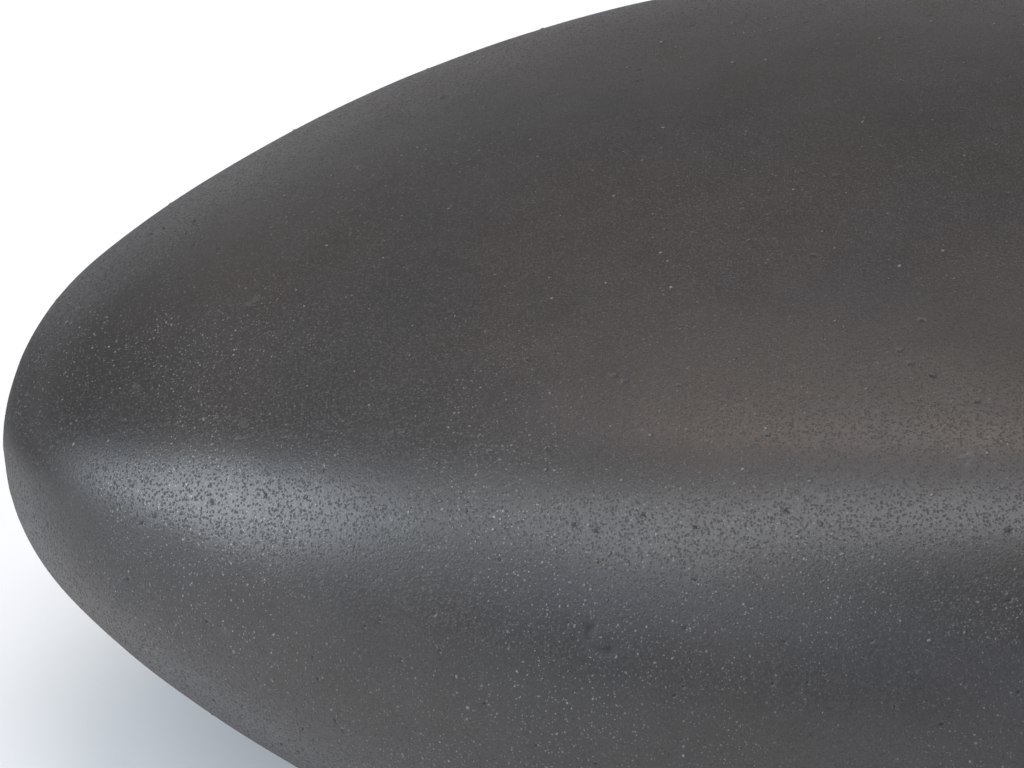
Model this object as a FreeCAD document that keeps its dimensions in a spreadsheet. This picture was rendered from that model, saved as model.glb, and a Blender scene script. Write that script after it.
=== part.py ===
import FreeCAD, Part
import math
import os
import Sketcher

# Basalt massage stone: one solid, a flattened pebble with a slightly pointed end, full rounded
# flanks and a small flat ground on its underside. X runs along the stone with the pointed end at
# -X, Y runs across it and Z is up. The origin is on the flat, under the middle of the stone.
# Lengths are in millimetres.

SIZES = [
    ("half_length", "40", "middle of the stone to either end, along X"),
    ("half_width", "27", "middle of the stone to either flank, along Y"),
    ("half_thickness", "14", "middle of the pebble to its crown, along Z"),
    ("pointed_radius", "15.5", "end radius of the outline at the pointed end"),
    ("blunt_radius", "19.5", "end radius of the outline at the blunt end"),
    ("flank_radius", "12", "end radius of the cross section at either flank"),
    ("flat_depth", "0.5", "thickness ground off the underside"),
    ("grinder_margin", "5", "how far the ground-off block reaches past the pebble"),
]

# Sketcher's numbers for its own axes and for the points of an arc.
X_LINE = -1
Y_LINE = -2
SKETCH_ORIGIN = (-1, 1)
START, END, CENTRE = 1, 2, 3

# Turns a sketch's X and Y into the stone's Y and Z.
ACROSS = FreeCAD.Placement(FreeCAD.Vector(), FreeCAD.Rotation(FreeCAD.Vector(1, 1, 1), 120))


def make_sheet(doc):
    """Give each driving dimension a row with its name, its value and its meaning."""
    sheet = doc.addObject("Spreadsheet::Sheet", "sizes")
    for row, (alias, value, meaning) in enumerate(SIZES, start=1):
        sheet.set(f"A{row}", alias)
        sheet.set(f"B{row}", value)
        sheet.set(f"C{row}", meaning)
        sheet.setAlias(f"B{row}", alias)
    doc.recompute()
    return sheet


def first_arc(centre_x, centre_y, radius, from_angle, to_angle):
    """A counterclockwise arc near its final place, which the constraints then settle."""
    centre = FreeCAD.Vector(centre_x, centre_y)
    circle = Part.Circle(centre, FreeCAD.Vector(0, 0, 1), radius)
    return Part.ArcOfCircle(circle, from_angle, to_angle)


def drive(sketch, name, constraint, expression):
    """Add a dimension to the sketch under a name and drive it from the sheet."""
    index = sketch.addConstraint(constraint)
    sketch.renameConstraint(index, name)
    sketch.setExpression(f"Constraints.{name}", expression)


def draw_quarter_oval(sketch, sheet, run, rise, tip_radius, side):
    """Draw a quarter of an oval: a tip arc on the X line and a tangent arc up to the Y line.

    run, rise and tip_radius name cells of the sheet, and side is 1 for a tip at +X or -1 for -X.
    """
    length, height, radius = (float(sheet.get(cell)) for cell in (run, rise, tip_radius))
    reach = length - radius
    big_radius = (reach ** 2 + height ** 2 - radius ** 2) / (2 * (height - radius))
    top = math.pi / 2
    joint = top - side * math.atan2(reach, big_radius - height)
    tip_angles = sorted((joint, top - side * top))
    big_angles = sorted((joint, top))
    tip_arc = sketch.addGeometry(first_arc(side * reach, 0, radius, *tip_angles), False)
    big_arc = sketch.addGeometry(first_arc(0, height - big_radius, big_radius, *big_angles), False)
    lower, upper = (START, END) if side > 0 else (END, START)

    sketch.addConstraint(Sketcher.Constraint("PointOnObject", tip_arc, CENTRE, X_LINE))
    sketch.addConstraint(Sketcher.Constraint("PointOnObject", tip_arc, lower, X_LINE))
    sketch.addConstraint(Sketcher.Constraint("PointOnObject", big_arc, CENTRE, Y_LINE))
    sketch.addConstraint(Sketcher.Constraint("PointOnObject", big_arc, upper, Y_LINE))
    sketch.addConstraint(Sketcher.Constraint("Tangent", tip_arc, upper, big_arc, lower))
    dimensions = {
        tip_radius: (Sketcher.Constraint("Radius", tip_arc, radius), 1),
        run: (Sketcher.Constraint("DistanceX", *SKETCH_ORIGIN, tip_arc, lower, side * length), side),
        rise: (Sketcher.Constraint("DistanceY", *SKETCH_ORIGIN, big_arc, upper, height), 1),
    }
    for cell, (constraint, sign) in dimensions.items():
        name = f"{cell}_{'right' if side > 0 else 'left'}"
        drive(sketch, name, constraint, f"{sign} * sizes.{cell}")


def make_outline(doc, sheet):
    """The half of the plan outline at +Y, from the pointed end to the blunt end."""
    sketch = doc.addObject("Sketcher::SketchObject", "half_outline")
    draw_quarter_oval(sketch, sheet, "half_length", "half_width", "pointed_radius", -1)
    draw_quarter_oval(sketch, sheet, "half_length", "half_width", "blunt_radius", 1)
    return sketch


def make_section(doc, sheet):
    """A quarter of the widest cross section, from the +Y flank to the crown."""
    sketch = doc.addObject("Sketcher::SketchObject", "quarter_section")
    sketch.Placement = ACROSS
    draw_quarter_oval(sketch, sheet, "half_width", "half_thickness", "flank_radius", 1)
    return sketch


def swept_patch(outline_edge, section_edge, half_width):
    """The face that a stretch of the section sweeps as it shrinks and grows with the outline.

    The section's size at each place along X is the outline's width there, so each pole of the
    face is a pole of the outline times a pole of the section.
    """
    outline = outline_edge.toNurbs().Edges[0].Curve
    section = section_edge.toNurbs().Edges[0].Curve
    poles = []
    weights = []
    for along, along_weight in zip(outline.getPoles(), outline.getWeights()):
        scale = along.y / half_width
        poles.append([
            FreeCAD.Vector(along.x, scale * across.y, scale * across.z)
            for across in section.getPoles()
        ])
        weights.append([along_weight * across_weight for across_weight in section.getWeights()])
    surface = Part.BSplineSurface()
    surface.buildFromPolesMultsKnots(
        poles, outline.getMultiplicities(), section.getMultiplicities(),
        outline.getKnots(), section.getKnots(), False, False,
        outline.Degree, section.Degree, weights)
    return surface.toShape()


def make_pebble(doc, sheet):
    """The whole pebble: a quarter of its skin, mirrored to the far flank and to the underside."""
    outline = make_outline(doc, sheet)
    section = make_section(doc, sheet)
    doc.recompute()
    half_width = float(sheet.half_width)
    faces = [
        swept_patch(outline_edge, section_edge, half_width)
        for outline_edge in outline.Shape.Edges
        for section_edge in section.Shape.Edges
    ]
    for normal in (FreeCAD.Vector(0, 1, 0), FreeCAD.Vector(0, 0, 1)):
        faces += [face.mirror(FreeCAD.Vector(), normal) for face in faces]
    pebble = doc.addObject("Part::Feature", "pebble")
    pebble.Shape = Part.makeSolid(Part.makeShell(faces))
    pebble.setExpression(".Placement.Base.z", "sizes.half_thickness - sizes.flat_depth")
    return pebble


def make_ground_off_block(doc):
    """The block below the ground plane, which grinding the flat takes off the pebble."""
    block = doc.addObject("Part::Box", "ground_off")
    block.setExpression("Length", "2 * (sizes.half_length + sizes.grinder_margin)")
    block.setExpression("Width", "2 * (sizes.half_width + sizes.grinder_margin)")
    block.setExpression("Height", "sizes.flat_depth + sizes.grinder_margin")
    block.setExpression(".Placement.Base.x", "-Length / 2")
    block.setExpression(".Placement.Base.y", "-Width / 2")
    block.setExpression(".Placement.Base.z", "-Height")
    return block


def make_stone(doc, sheet):
    """The finished stone: the pebble with its underside ground flat."""
    stone = doc.addObject("Part::Cut", "stone")
    stone.Base = make_pebble(doc, sheet)
    stone.Tool = make_ground_off_block(doc)
    stone.Label = "stone"
    doc.recompute()
    return stone


def check_document(doc):
    """Stop if any object of the document failed to build."""
    for item in doc.Objects:
        if "Invalid" in item.State or "Error" in item.State:
            raise RuntimeError(f"{item.Name} failed: {item.State}")


def check_solid(part):
    """Stop if the sub-part isn't one valid closed solid."""
    shape = part.Shape
    if shape.isNull() or not shape.isValid() or len(shape.Solids) != 1:
        raise RuntimeError(f"{part.Label} isn't one valid solid")


def print_sizes(part):
    """Print the sub-part's height, its volume and the area that it rests on."""
    points, _ = part.Shape.tessellate(0.01)
    height = max(point.z for point in points) - min(point.z for point in points)
    flat = next(face for face in part.Shape.Faces if isinstance(face.Surface, Part.Plane))
    print(f"{part.Label}: {height:.2f} mm high, {part.Shape.Volume / 1000:.2f} cm3,"
          f" rests on {flat.Area:.0f} mm2")


doc = FreeCAD.newDocument("massage_stone")
sheet = make_sheet(doc)
sub_parts = [make_stone(doc, sheet)]
check_document(doc)
for sub_part in sub_parts:
    check_solid(sub_part)

os.makedirs("parts", exist_ok=True)
for sub_part in sub_parts:
    sub_part.Shape.exportStep(f"parts/{sub_part.Label}.step")
    print_sizes(sub_part)
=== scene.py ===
import math
import random

import bmesh
import bpy
import numpy as np
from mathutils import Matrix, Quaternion, Vector, noise


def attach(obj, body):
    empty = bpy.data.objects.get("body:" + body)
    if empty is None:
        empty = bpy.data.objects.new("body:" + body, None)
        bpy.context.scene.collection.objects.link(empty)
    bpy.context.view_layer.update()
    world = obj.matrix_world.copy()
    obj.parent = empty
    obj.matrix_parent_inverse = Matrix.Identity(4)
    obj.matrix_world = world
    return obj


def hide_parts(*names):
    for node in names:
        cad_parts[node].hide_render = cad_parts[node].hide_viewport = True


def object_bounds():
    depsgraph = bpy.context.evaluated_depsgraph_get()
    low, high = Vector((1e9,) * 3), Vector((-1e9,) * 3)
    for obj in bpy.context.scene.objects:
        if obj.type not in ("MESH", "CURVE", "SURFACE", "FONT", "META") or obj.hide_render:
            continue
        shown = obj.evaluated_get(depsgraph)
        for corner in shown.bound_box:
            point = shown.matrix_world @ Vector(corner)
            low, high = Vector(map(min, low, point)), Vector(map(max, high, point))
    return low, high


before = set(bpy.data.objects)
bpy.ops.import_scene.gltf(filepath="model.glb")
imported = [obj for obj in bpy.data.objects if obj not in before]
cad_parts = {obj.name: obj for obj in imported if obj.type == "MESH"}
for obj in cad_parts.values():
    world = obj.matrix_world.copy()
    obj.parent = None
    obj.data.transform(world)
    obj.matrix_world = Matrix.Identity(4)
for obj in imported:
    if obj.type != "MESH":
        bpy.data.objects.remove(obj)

# Looks of a basalt massage stone: one tumbled pebble with a satin finish, fine pores and pale
# mineral grains. Lengths are in metres, and material textures are laid out in millimetres.

MM = 0.001
SEED = 11

cad_low, cad_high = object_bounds()
CENTRE = (cad_low + cad_high) / 2

# ---------------------------------------------------------------- the stone's skin

SKIN_STEP = 0.42 * MM
SMOOTHING_PASSES = 40
SMOOTHING_FACTOR = 0.5

# Each swell of the tumbled surface: wavelength and height.
SWELLS = [(22 * MM, 0.22 * MM), (7 * MM, 0.05 * MM), (2.2 * MM, 0.012 * MM)]
# The swells start this far above the flat, and reach their full height over the fade.
FLAT_MARGIN = 0.24 * MM
FLAT_FADE = 0.8 * MM

PORE_COUNT = 500
PORE_RADIUS = (0.05 * MM, 0.11 * MM)
PORE_DEPTH = 0.08 * MM
# The corners of a pore or a grain lie at its radius times a draw from this range.
UNEVEN_RIM = (0.75, 1.25)

# A worn chip like a crescent on the front flank: the middle, the radius and the two ends of its
# arc, the half width of its groove, and the groove's depth at the arc's ends and between them.
CHIP_PLACE = Vector((-15.2, -23.4, 18.4)) * MM
CHIP_RADIUS = 0.60 * MM
CHIP_START, CHIP_END = math.radians(155), math.radians(290)
CHIP_WIDTH = 0.20 * MM
CHIP_DEPTH = 0.07 * MM
CHIP_MIDDLE_SHARE = 0.45
# The patch of skin around the chip that is made finer and pressed in, and how much finer.
CHIP_REACH = CHIP_RADIUS + 3 * CHIP_WIDTH
CHIP_CUTS = 3


def remeshed_copy(node):
    """A new object with the CAD node's form in even quads."""
    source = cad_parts[node]
    stone = bpy.data.objects.new("basalt_stone", source.data.copy())
    bpy.context.collection.objects.link(stone)
    remesh = stone.modifiers.new("even_quads", "REMESH")
    remesh.mode = "VOXEL"
    remesh.voxel_size = SKIN_STEP
    smooth = stone.modifiers.new("tumbled", "SMOOTH")
    smooth.factor = SMOOTHING_FACTOR
    smooth.iterations = SMOOTHING_PASSES
    depsgraph = bpy.context.evaluated_depsgraph_get()
    mesh = bpy.data.meshes.new_from_object(stone.evaluated_get(depsgraph))
    stone.modifiers.clear()
    stone.data = mesh
    return stone


def read_vectors(items, attribute):
    """The attribute of every item as rows of three numbers."""
    values = np.empty(len(items) * 3)
    items.foreach_get(attribute, values)
    return values.reshape(-1, 3)


def swell_at(point):
    """How far the surface stands out at this point, from all the swells together."""
    height = 0.0
    for index, (wavelength, size) in enumerate(SWELLS):
        offset = Vector((SEED + index, 0, 0))
        height += size * noise.noise(point / wavelength + offset)
    return height


def swell(stone):
    """Give the smooth pebble its slight unevenness, and none on the flat that it rests on."""
    mesh = stone.data
    points = read_vectors(mesh.vertices, "co")
    normals = read_vectors(mesh.vertices, "normal")
    heights = np.array([swell_at(Vector(point)) for point in points])
    fade = np.clip((points[:, 2] - cad_low.z - FLAT_MARGIN) / FLAT_FADE, 0, 1)
    points += normals * (heights * fade)[:, None]
    mesh.vertices.foreach_set("co", points.ravel())
    mesh.update()


def open_pores(mesh, hollow, faces, chooser):
    """Sink a small uneven pore into each face, and note how hollow its vertices lie."""
    bmesh.ops.inset_individual(mesh, faces=faces, thickness=SKIN_STEP / 4)
    rims = list({edge for face in faces for edge in face.edges})
    bmesh.ops.subdivide_edges(mesh, edges=rims, cuts=1)
    for face in faces:
        radius = chooser.uniform(*PORE_RADIUS)
        middle = face.calc_center_median()
        for vertex in face.verts:
            away = (vertex.co - middle).normalized()
            vertex.co = middle + away * radius * chooser.uniform(*UNEVEN_RIM)
    for bottom in bmesh.ops.poke(mesh, faces=faces, offset=-PORE_DEPTH)["verts"]:
        bottom[hollow] = 1.0


def chip_share(across, along):
    """How much of the chip's depth there is at a place on the flank, from 0 to 1."""
    turn = math.atan2(along, across) % math.tau
    beyond = max(CHIP_START - turn, turn - CHIP_END, 0) * CHIP_RADIUS
    gap = math.hypot(math.hypot(across, along) - CHIP_RADIUS, beyond)
    from_middle = abs(2 * turn - CHIP_START - CHIP_END) / (CHIP_END - CHIP_START)
    end_share = min(from_middle, 1) ** 2
    groove = CHIP_MIDDLE_SHARE + (1 - CHIP_MIDDLE_SHARE) * end_share
    return groove * math.exp(-(gap / CHIP_WIDTH) ** 2)


def chip_flank(mesh, hollow):
    """Press the crescent chip into the flank, on a finer patch of mesh."""
    near = {edge for vertex in mesh.verts if (vertex.co - CHIP_PLACE).length < CHIP_REACH
            for edge in vertex.link_edges}
    bmesh.ops.subdivide_edges(mesh, edges=list(near), cuts=CHIP_CUTS, use_grid_fill=True)
    mesh.normal_update()
    touched = [vertex for vertex in mesh.verts if (vertex.co - CHIP_PLACE).length < CHIP_REACH]
    out = sum((vertex.normal for vertex in touched), Vector()).normalized()
    right = Vector((1, 0, 0))
    up = out.cross(right).normalized()
    for vertex in touched:
        away = vertex.co - CHIP_PLACE
        share = chip_share(away.dot(right), away.dot(up))
        vertex[hollow] = max(vertex[hollow], share)
        vertex.co -= out * CHIP_DEPTH * share


def make_stone():
    """The whole visible stone, in place of the CAD node, and the mineral grains in its skin."""
    chooser = random.Random(SEED)
    stone = remeshed_copy("stone")
    swell(stone)
    mesh = bmesh.new()
    mesh.from_mesh(stone.data)
    hollow = mesh.verts.layers.float.new("hollow")
    skin = [face for face in mesh.faces if face.calc_center_median().z > cad_low.z + FLAT_FADE]
    picked = chooser.sample(skin, PORE_COUNT + GRAIN_COUNT)
    grains = make_grains(picked[PORE_COUNT:], chooser)
    open_pores(mesh, hollow, picked[:PORE_COUNT], chooser)
    chip_flank(mesh, hollow)
    for face in mesh.faces:
        face.smooth = True
    mesh.to_mesh(stone.data)
    mesh.free()
    return stone, grains


# ---------------------------------------------------------------- mineral grains in the skin

GRAIN_COUNT = 5000
GRAIN_RADIUS = (0.035 * MM, 0.13 * MM)
# A higher power leaves fewer large grains among the small ones.
GRAIN_RARITY = 6
# How far a grain's top stands above its rim, and how narrow it may be, as shares of its radius.
GRAIN_RISE = 0.35
GRAIN_NARROWEST = 0.5
GRAIN_SIDES = 6


def add_grain(points, faces, place, out, radius, chooser):
    """A flat lens of stone with an uneven rim, sunk halfway into the skin."""
    first = len(points)
    start = out.orthogonal().normalized()
    start.rotate(Quaternion(out, chooser.uniform(0, math.tau)))
    side = out.cross(start)
    narrow = chooser.uniform(GRAIN_NARROWEST, 1.0)
    for step in range(GRAIN_SIDES):
        turn = math.tau * step / GRAIN_SIDES
        reach = radius * chooser.uniform(*UNEVEN_RIM)
        points.append(place + reach * (math.cos(turn) * start + narrow * math.sin(turn) * side))
    rise = out * radius * GRAIN_RISE
    points.append(place + rise)
    points.append(place - rise)
    top, bottom = first + GRAIN_SIDES, first + GRAIN_SIDES + 1
    for step in range(GRAIN_SIDES):
        here, following = first + step, first + (step + 1) % GRAIN_SIDES
        faces.append((here, following, top))
        faces.append((following, here, bottom))


def make_grains(places, chooser):
    """A paler mineral grain on each of the faces, which stands a hair proud of the skin."""
    points, faces = [], []
    smallest, largest = GRAIN_RADIUS
    for face in places:
        radius = smallest + (largest - smallest) * chooser.random() ** GRAIN_RARITY
        add_grain(points, faces, face.calc_center_median(), face.normal, radius, chooser)
    mesh = bpy.data.meshes.new("mineral_grains")
    mesh.from_pydata(points, [], faces)
    for face in mesh.polygons:
        face.use_smooth = True
    grains = bpy.data.objects.new("mineral_grains", mesh)
    bpy.context.collection.objects.link(grains)
    return grains


# ---------------------------------------------------------------- materials


class Nodes:
    """Adds nodes to a material: a keyword is an attribute, and inputs are values or sockets."""

    def __init__(self, name):
        self.material = bpy.data.materials.new(name)
        self.material.use_nodes = True
        self.tree = self.material.node_tree
        self.shader = self.tree.nodes["Principled BSDF"]

    def feed(self, socket, value):
        """Link another node's socket to this one, or set a plain value on it."""
        if isinstance(value, bpy.types.NodeSocket):
            self.tree.links.new(value, socket)
        else:
            socket.default_value = value

    def add(self, kind, inputs=(), **attributes):
        """A new node of this kind, with its attributes set and its inputs fed."""
        node = self.tree.nodes.new(kind)
        for name, value in attributes.items():
            setattr(node, name, value)
        for name, value in dict(inputs).items():
            self.feed(node.inputs[name], value)
        return node

    def place_in_mm(self):
        """Where a point lies on the object, in millimetres."""
        coordinates = self.add("ShaderNodeTexCoord").outputs["Object"]
        inputs = {"Vector": coordinates, "Scale": 1 / MM}
        return self.add("ShaderNodeVectorMath", inputs, operation="SCALE").outputs["Vector"]

    def multiply(self, first, second):
        return self.add("ShaderNodeMath", {0: first, 1: second}, operation="MULTIPLY").outputs[0]

    def sum(self, first, second):
        return self.add("ShaderNodeMath", {0: first, 1: second}, operation="ADD").outputs[0]

    def ramp(self, value, low, high, to_low=0.0, to_high=1.0):
        """Stretch the values from low to high over a new range, and hold them inside it."""
        inputs = {"Value": value, "From Min": low, "From Max": high,
                  "To Min": to_low, "To Max": to_high}
        return self.add("ShaderNodeMapRange", inputs).outputs["Result"]

    def tint(self, colour, strength, towards):
        """Move a colour towards another by a strength from 0 to 1."""
        inputs = {"Fac": strength, "Color1": colour, "Color2": (*towards, 1)}
        return self.add("ShaderNodeMixRGB", inputs).outputs["Color"]

    def noise(self, place, wavelength, detail=2.0, roughness=0.5):
        """Cloudy noise around 0.5, with this wavelength in millimetres."""
        inputs = {"Vector": place, "Scale": 1 / wavelength, "Detail": detail,
                  "Roughness": roughness}
        return self.add("ShaderNodeTexNoise", inputs).outputs["Fac"]

    def jostle(self, place, wavelength, reach):
        """Shift places about, so that round cells come out ragged."""
        inputs = {"Vector": place, "Scale": 1 / wavelength, "Detail": 1}
        shift = self.add("ShaderNodeTexNoise", inputs).outputs["Color"]
        inputs = {0: shift, 1: (reach,) * 3, 2: place}
        return self.add("ShaderNodeVectorMath", inputs, operation="MULTIPLY_ADD").outputs[0]

    def dots(self, place, spacing, radius):
        """Soft dots one spacing apart, each with a strength of its own, from 0 to 1."""
        cells = self.add("ShaderNodeTexVoronoi", {"Vector": place, "Scale": 1 / spacing})
        inside = self.ramp(cells.outputs["Distance"], radius / 2, radius, 1, 0)
        draw = self.add("ShaderNodeSeparateColor", {"Color": cells.outputs["Color"]})
        return self.multiply(inside, draw.outputs["Red"])

    def finish(self, colour, roughness, height, bump_height):
        """Feed the shader, with a bump as high as bump_height where height is 1."""
        inputs = {"Height": height, "Strength": 1.0, "Distance": bump_height}
        bump = self.add("ShaderNodeBump", inputs)
        self.feed(self.shader.inputs["Base Color"], colour)
        self.feed(self.shader.inputs["Roughness"], roughness)
        self.feed(self.shader.inputs["Normal"], bump.outputs["Normal"])
        return self.material


# The basalt's shades of linear red, green and blue: the plain stone and what tints it, and the
# painted shade laid on the pointed end and in the hollows.
CHARCOAL = (0.045, 0.042, 0.041)
WARM = (0.052, 0.043, 0.038)
OLIVE = (0.045, 0.043, 0.034)
CLOUDY = (0.070, 0.065, 0.061)
SMEARED = (0.12, 0.12, 0.115)
# Painted shade laid on the upper side of the pointed end.
NOSE_PAINTED_SHADE = (0.012, 0.012, 0.012)
GRAIN_DARK = (0.012, 0.012, 0.013)
FLECK_PALE = (0.24, 0.24, 0.23)
# Painted shade laid in the pores and the chip's groove.
HOLLOW_PAINTED_SHADE = (0.008, 0.008, 0.008)

# Each size of fleck: its spacing in millimetres, its radius as a share of that, its strength.
FLECKS = [(0.14, 0.26, 0.9), (0.33, 0.17, 1.0)]
PIT_SPACING = 0.125
PIT_RADIUS = 0.50
# How rough the polish and the pits are, and how much rougher the skin gets where it turns away.
POLISH_ROUGHNESS = 0.33
PIT_ROUGHNESS = 0.66
EDGE_ROUGHNESS = 0.27
BASALT_BUMP = 0.009 * MM

# The crown is rubbed smoother than the flanks: from the first level, in millimetres, to the
# second, its flecks thin out to this share of the flanks'.
CROWN_LEVELS = (21, 25)
CROWN_FLECKS = 0.35
# The upper side of the pointed end is painted darker, as painted shade: where along the stone
# this fades out, and the levels between which it fades in.
NOSE_SHADE_REACH = (-36, -31)
NOSE_SHADE_LEVELS = (12, 17)


def basalt():
    """Charcoal stone: warm and cool patches, cloudy, finely grained, flecked and pitted, with
    painted shade on the pointed end's upper side and in the pores and the chip.
    """
    nodes = Nodes("basalt")
    place = nodes.place_in_mm()
    ragged = nodes.jostle(place, 0.12, 0.10)
    hollow = nodes.add("ShaderNodeAttribute", attribute_name="hollow").outputs["Fac"]

    warm = nodes.ramp(nodes.noise(place, 9, detail=3), 0.35, 0.65)
    olive = nodes.ramp(nodes.noise(ragged, 6, detail=4), 0.50, 0.66, 0, 0.4)
    clouds = nodes.ramp(nodes.noise(place, 3.2, detail=5, roughness=0.6), 0.35, 0.75, 0, 0.45)
    smears = nodes.dots(nodes.jostle(place, 0.7, 2.0), 4.0, 0.10)
    grain = nodes.ramp(nodes.noise(place, 0.07, detail=2, roughness=0.6), 0.3, 0.7, 0, 0.6)
    crowding = nodes.ramp(nodes.noise(place, 7, detail=3), 0.40, 0.64, 0.25, 1)
    axes = nodes.add("ShaderNodeSeparateXYZ", {"Vector": place}).outputs
    crowding = nodes.multiply(crowding, nodes.ramp(axes["Z"], *CROWN_LEVELS, 1, CROWN_FLECKS))
    # Where the painted shade on the upper side of the pointed end falls.
    upper_nose_painted_shade = nodes.multiply(nodes.ramp(axes["X"], *NOSE_SHADE_REACH, 1, 0),
                                nodes.ramp(axes["Z"], *NOSE_SHADE_LEVELS))

    colour = nodes.tint((*CHARCOAL, 1), warm, WARM)
    colour = nodes.tint(colour, olive, OLIVE)
    colour = nodes.tint(colour, clouds, CLOUDY)
    colour = nodes.tint(colour, nodes.multiply(smears, 0.4), SMEARED)
    # Painted shade: the upper side of the pointed end darkened, standing in for the shade there.
    colour = nodes.tint(colour, nodes.multiply(upper_nose_painted_shade, 0.55), NOSE_PAINTED_SHADE)
    colour = nodes.tint(colour, grain, GRAIN_DARK)
    for spacing, radius, strength in FLECKS:
        flecks = nodes.multiply(nodes.dots(ragged, spacing, radius), crowding)
        colour = nodes.tint(colour, nodes.multiply(flecks, strength), FLECK_PALE)
    # Painted shade in the pores and the chip's groove: the hollower, the darker.
    colour = nodes.tint(colour, nodes.multiply(hollow, 0.8), HOLLOW_PAINTED_SHADE)

    pits = nodes.dots(ragged, PIT_SPACING, PIT_RADIUS)
    ripple = nodes.noise(place, 0.15, detail=3, roughness=0.6)
    height = nodes.sum(nodes.multiply(pits, -1.0), ripple)
    polish = nodes.ramp(nodes.sum(pits, hollow), 0, 0.5, POLISH_ROUGHNESS, PIT_ROUGHNESS)
    facing = nodes.add("ShaderNodeLayerWeight", {"Blend": 0.5}).outputs["Facing"]
    roughness = nodes.sum(polish, nodes.ramp(facing, 0.6, 1.0, 0, EDGE_ROUGHNESS))
    return nodes.finish(colour, roughness, height, BASALT_BUMP)


# The mineral's shades, from dull to pale, and the rusty tone that a few crystals take on.
DULL_GREY = (0.07, 0.069, 0.067)
PALE_GREY = (0.16, 0.158, 0.15)
RUSTY = (0.14, 0.115, 0.10)
MINERAL_ROUGHNESS = (0.4, 0.6)
MINERAL_BUMP = 0.004 * MM


def pale_mineral():
    """The grey to off-white crystals, each a shade of its own."""
    nodes = Nodes("pale_mineral")
    place = nodes.place_in_mm()
    shade = nodes.ramp(nodes.noise(place, 0.6, detail=0), 0.35, 0.65)
    tone = nodes.ramp(nodes.noise(place, 1.7, detail=0), 0.4, 0.6)
    colour = nodes.tint((*DULL_GREY, 1), shade, PALE_GREY)
    colour = nodes.tint(colour, nodes.multiply(tone, 0.3), RUSTY)
    frost = nodes.noise(place, 0.05, detail=2)
    roughness = nodes.ramp(frost, 0.3, 0.7, *MINERAL_ROUGHNESS)
    return nodes.finish(colour, roughness, frost, MINERAL_BUMP)


def dress(piece, material):
    """Give a piece its material, and let it ride on the stone's body."""
    piece.data.materials.clear()
    piece.data.materials.append(material)
    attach(piece, "root")


stone, grains = make_stone()
dress(stone, basalt())
dress(grains, pale_mineral())
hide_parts("stone")

# ---------------------------------------------------------------- stage, light and camera

FLOOR_SIZE = 60.0
FLOOR_SHADE = 0.88
MATT = 0.9

# A dark card on the floor behind the pointed end, which only the stone's gloss picks up.
CARD_SHADE = 0.02
CARD_LIFT = 0.2 * MM
CARD_CORNERS = [(-42 * MM, 22 * MM), (-210 * MM, 370 * MM), (-500 * MM, 22 * MM)]

# Each softbox: elevation and azimuth seen from the stone, width and height as shares of its
# distance, brightness and colour.
LIGHT_DISTANCE = 12.0
SOFTBOXES = {
    "left": (22, -87, 0.44, 0.60, 9.0, (0.82, 0.91, 1.0)),
    "upper_left": (56, -57, 0.43, 0.43, 5.0, (0.91, 0.97, 1.0)),
    "overhead": (79, 0, 0.57, 0.30, 5.8, (0.94, 0.94, 1.0)),
    "rear": (68, 180, 0.67, 0.24, 4.2, (1.0, 0.84, 0.73)),
    "front_left": (32, -34, 0.60, 0.43, 1.7, (0.66, 0.82, 1.0)),
    "front_fill": (14, 20, 0.67, 0.33, 1.9, (0.62, 0.74, 1.0)),
    "right": (14, 95, 0.57, 0.40, 2.2, (0.90, 0.95, 1.0)),
}
# The sky's light on the stone, and the sky that the camera itself sees, as pale as the floor.
SKY_BRIGHTNESS = 0.2
BACKDROP_BRIGHTNESS = 1.0

# Where the camera looks from, in degrees and metres, the width of its picture at the stone, and
# how far left of the stone's middle and above it the camera aims.
VIEW_ELEVATION = 30.0
VIEW_AZIMUTH = 2.0
VIEW_DISTANCE = 0.4
FRAME_WIDTH = 41.0 * MM
AIM_LEFT = 19.5 * MM
AIM_UP = 2.1 * MM
NEAREST_SEEN = 10 * MM


def direction(elevation, azimuth):
    """The way from the stone to something. Azimuth 0 is the front, at -Y, and 90 is at +X."""
    rise, turn = math.radians(elevation), math.radians(azimuth)
    level = math.cos(rise)
    return Vector((math.sin(turn) * level, -math.cos(turn) * level, math.sin(rise)))


def make_panel(name, corners, height, shade):
    """A level sheet with a matt grey surface, which is part of the stage."""
    mesh = bpy.data.meshes.new(name)
    mesh.from_pydata([(x, y, height) for x, y in corners], [], [range(len(corners))])
    material = bpy.data.materials.new(name)
    material.use_nodes = True
    shader = material.node_tree.nodes["Principled BSDF"]
    shader.inputs["Base Color"].default_value = (shade, shade, shade, 1)
    shader.inputs["Roughness"].default_value = MATT
    mesh.materials.append(material)
    panel = bpy.data.objects.new(name, mesh)
    bpy.context.collection.objects.link(panel)
    return panel


def lay_floor():
    """A wide pale floor at the height of the flat that the stone rests on, and the card."""
    reach = FLOOR_SIZE / 2
    corners = [(-reach, -reach), (reach, -reach), (reach, reach), (-reach, reach)]
    make_panel("floor", corners, cad_low.z, FLOOR_SHADE)
    card = make_panel("dark_card", CARD_CORNERS, cad_low.z + CARD_LIFT, CARD_SHADE)
    card.visible_camera = False
    card.visible_diffuse = False
    card.visible_shadow = False


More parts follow.
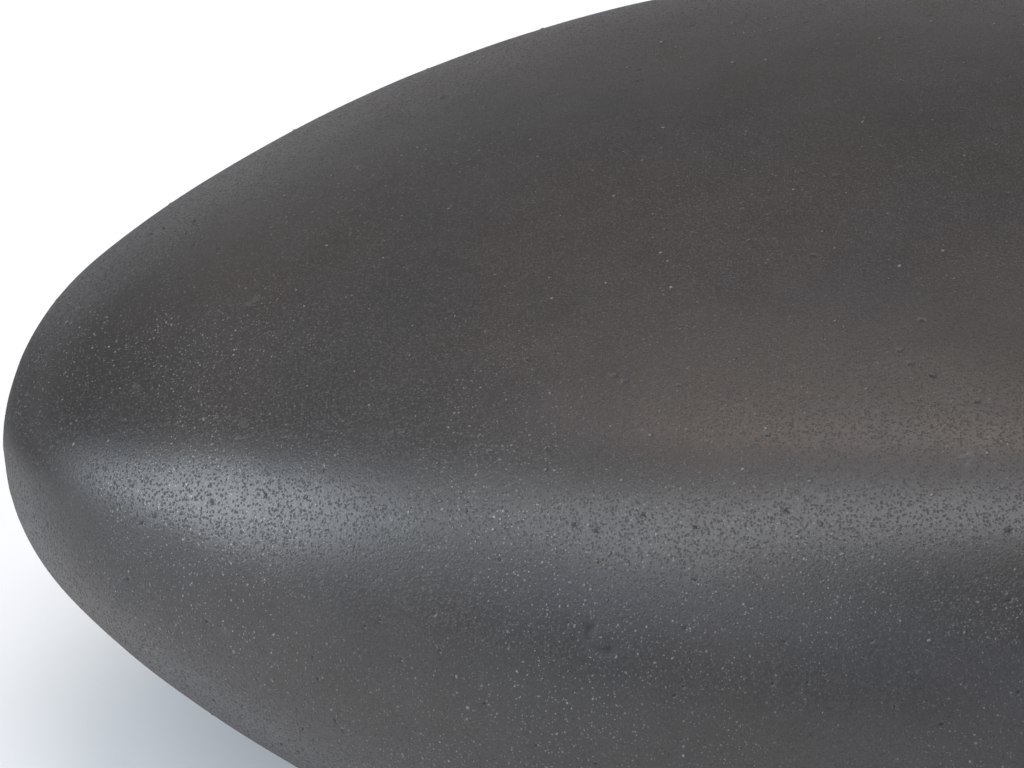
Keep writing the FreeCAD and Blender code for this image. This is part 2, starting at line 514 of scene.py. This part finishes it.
def softbox(name, elevation, azimuth, width, height, brightness, colour):
    """A rectangular light that faces the stone, with the same brightness all over."""
    light = bpy.data.lights.new(name, "AREA")
    light.shape = "RECTANGLE"
    light.size = width * LIGHT_DISTANCE
    light.size_y = height * LIGHT_DISTANCE
    light.energy = math.pi * light.size * light.size_y * brightness
    light.color = colour
    lamp = bpy.data.objects.new(name, light)
    away = direction(elevation, azimuth)
    lamp.location = CENTRE + away * LIGHT_DISTANCE
    lamp.rotation_euler = away.to_track_quat("Z", "Y").to_euler()
    lamp.visible_camera = False
    bpy.context.collection.objects.link(lamp)


def light_stage():
    """The softboxes, and an even sky that is dim as a light and pale to the camera."""
    world = bpy.data.worlds.new("studio")
    world.use_nodes = True
    background = world.node_tree.nodes["Background"]
    background.inputs["Color"].default_value = (1, 1, 1, 1)
    seen = world.node_tree.nodes.new("ShaderNodeLightPath").outputs["Is Camera Ray"]
    strength = world.node_tree.nodes.new("ShaderNodeMapRange")
    strength.inputs["To Min"].default_value = SKY_BRIGHTNESS
    strength.inputs["To Max"].default_value = BACKDROP_BRIGHTNESS
    world.node_tree.links.new(seen, strength.inputs["Value"])
    world.node_tree.links.new(strength.outputs["Result"], background.inputs["Strength"])
    bpy.context.scene.world = world
    for name, settings in SOFTBOXES.items():
        softbox(name, *settings)


def place_camera():
    """Look down on the stone's pointed end with a long lens, the blunt end out of view."""
    data = bpy.data.cameras.new("camera")
    camera = bpy.data.objects.new("camera", data)
    bpy.context.collection.objects.link(camera)
    back = direction(VIEW_ELEVATION, VIEW_AZIMUTH)
    rotation = back.to_track_quat("Z", "Y")
    right, up = rotation @ Vector((1, 0, 0)), rotation @ Vector((0, 1, 0))
    aim = CENTRE - right * AIM_LEFT + up * AIM_UP
    camera.rotation_euler = rotation.to_euler()
    camera.location = aim + back * VIEW_DISTANCE
    data.lens = data.sensor_width * VIEW_DISTANCE / FRAME_WIDTH
    data.clip_start = NEAREST_SEEN
    bpy.context.scene.camera = camera


lay_floor()
light_stage()
place_camera()
bpy.context.scene.view_settings.view_transform = "Standard"
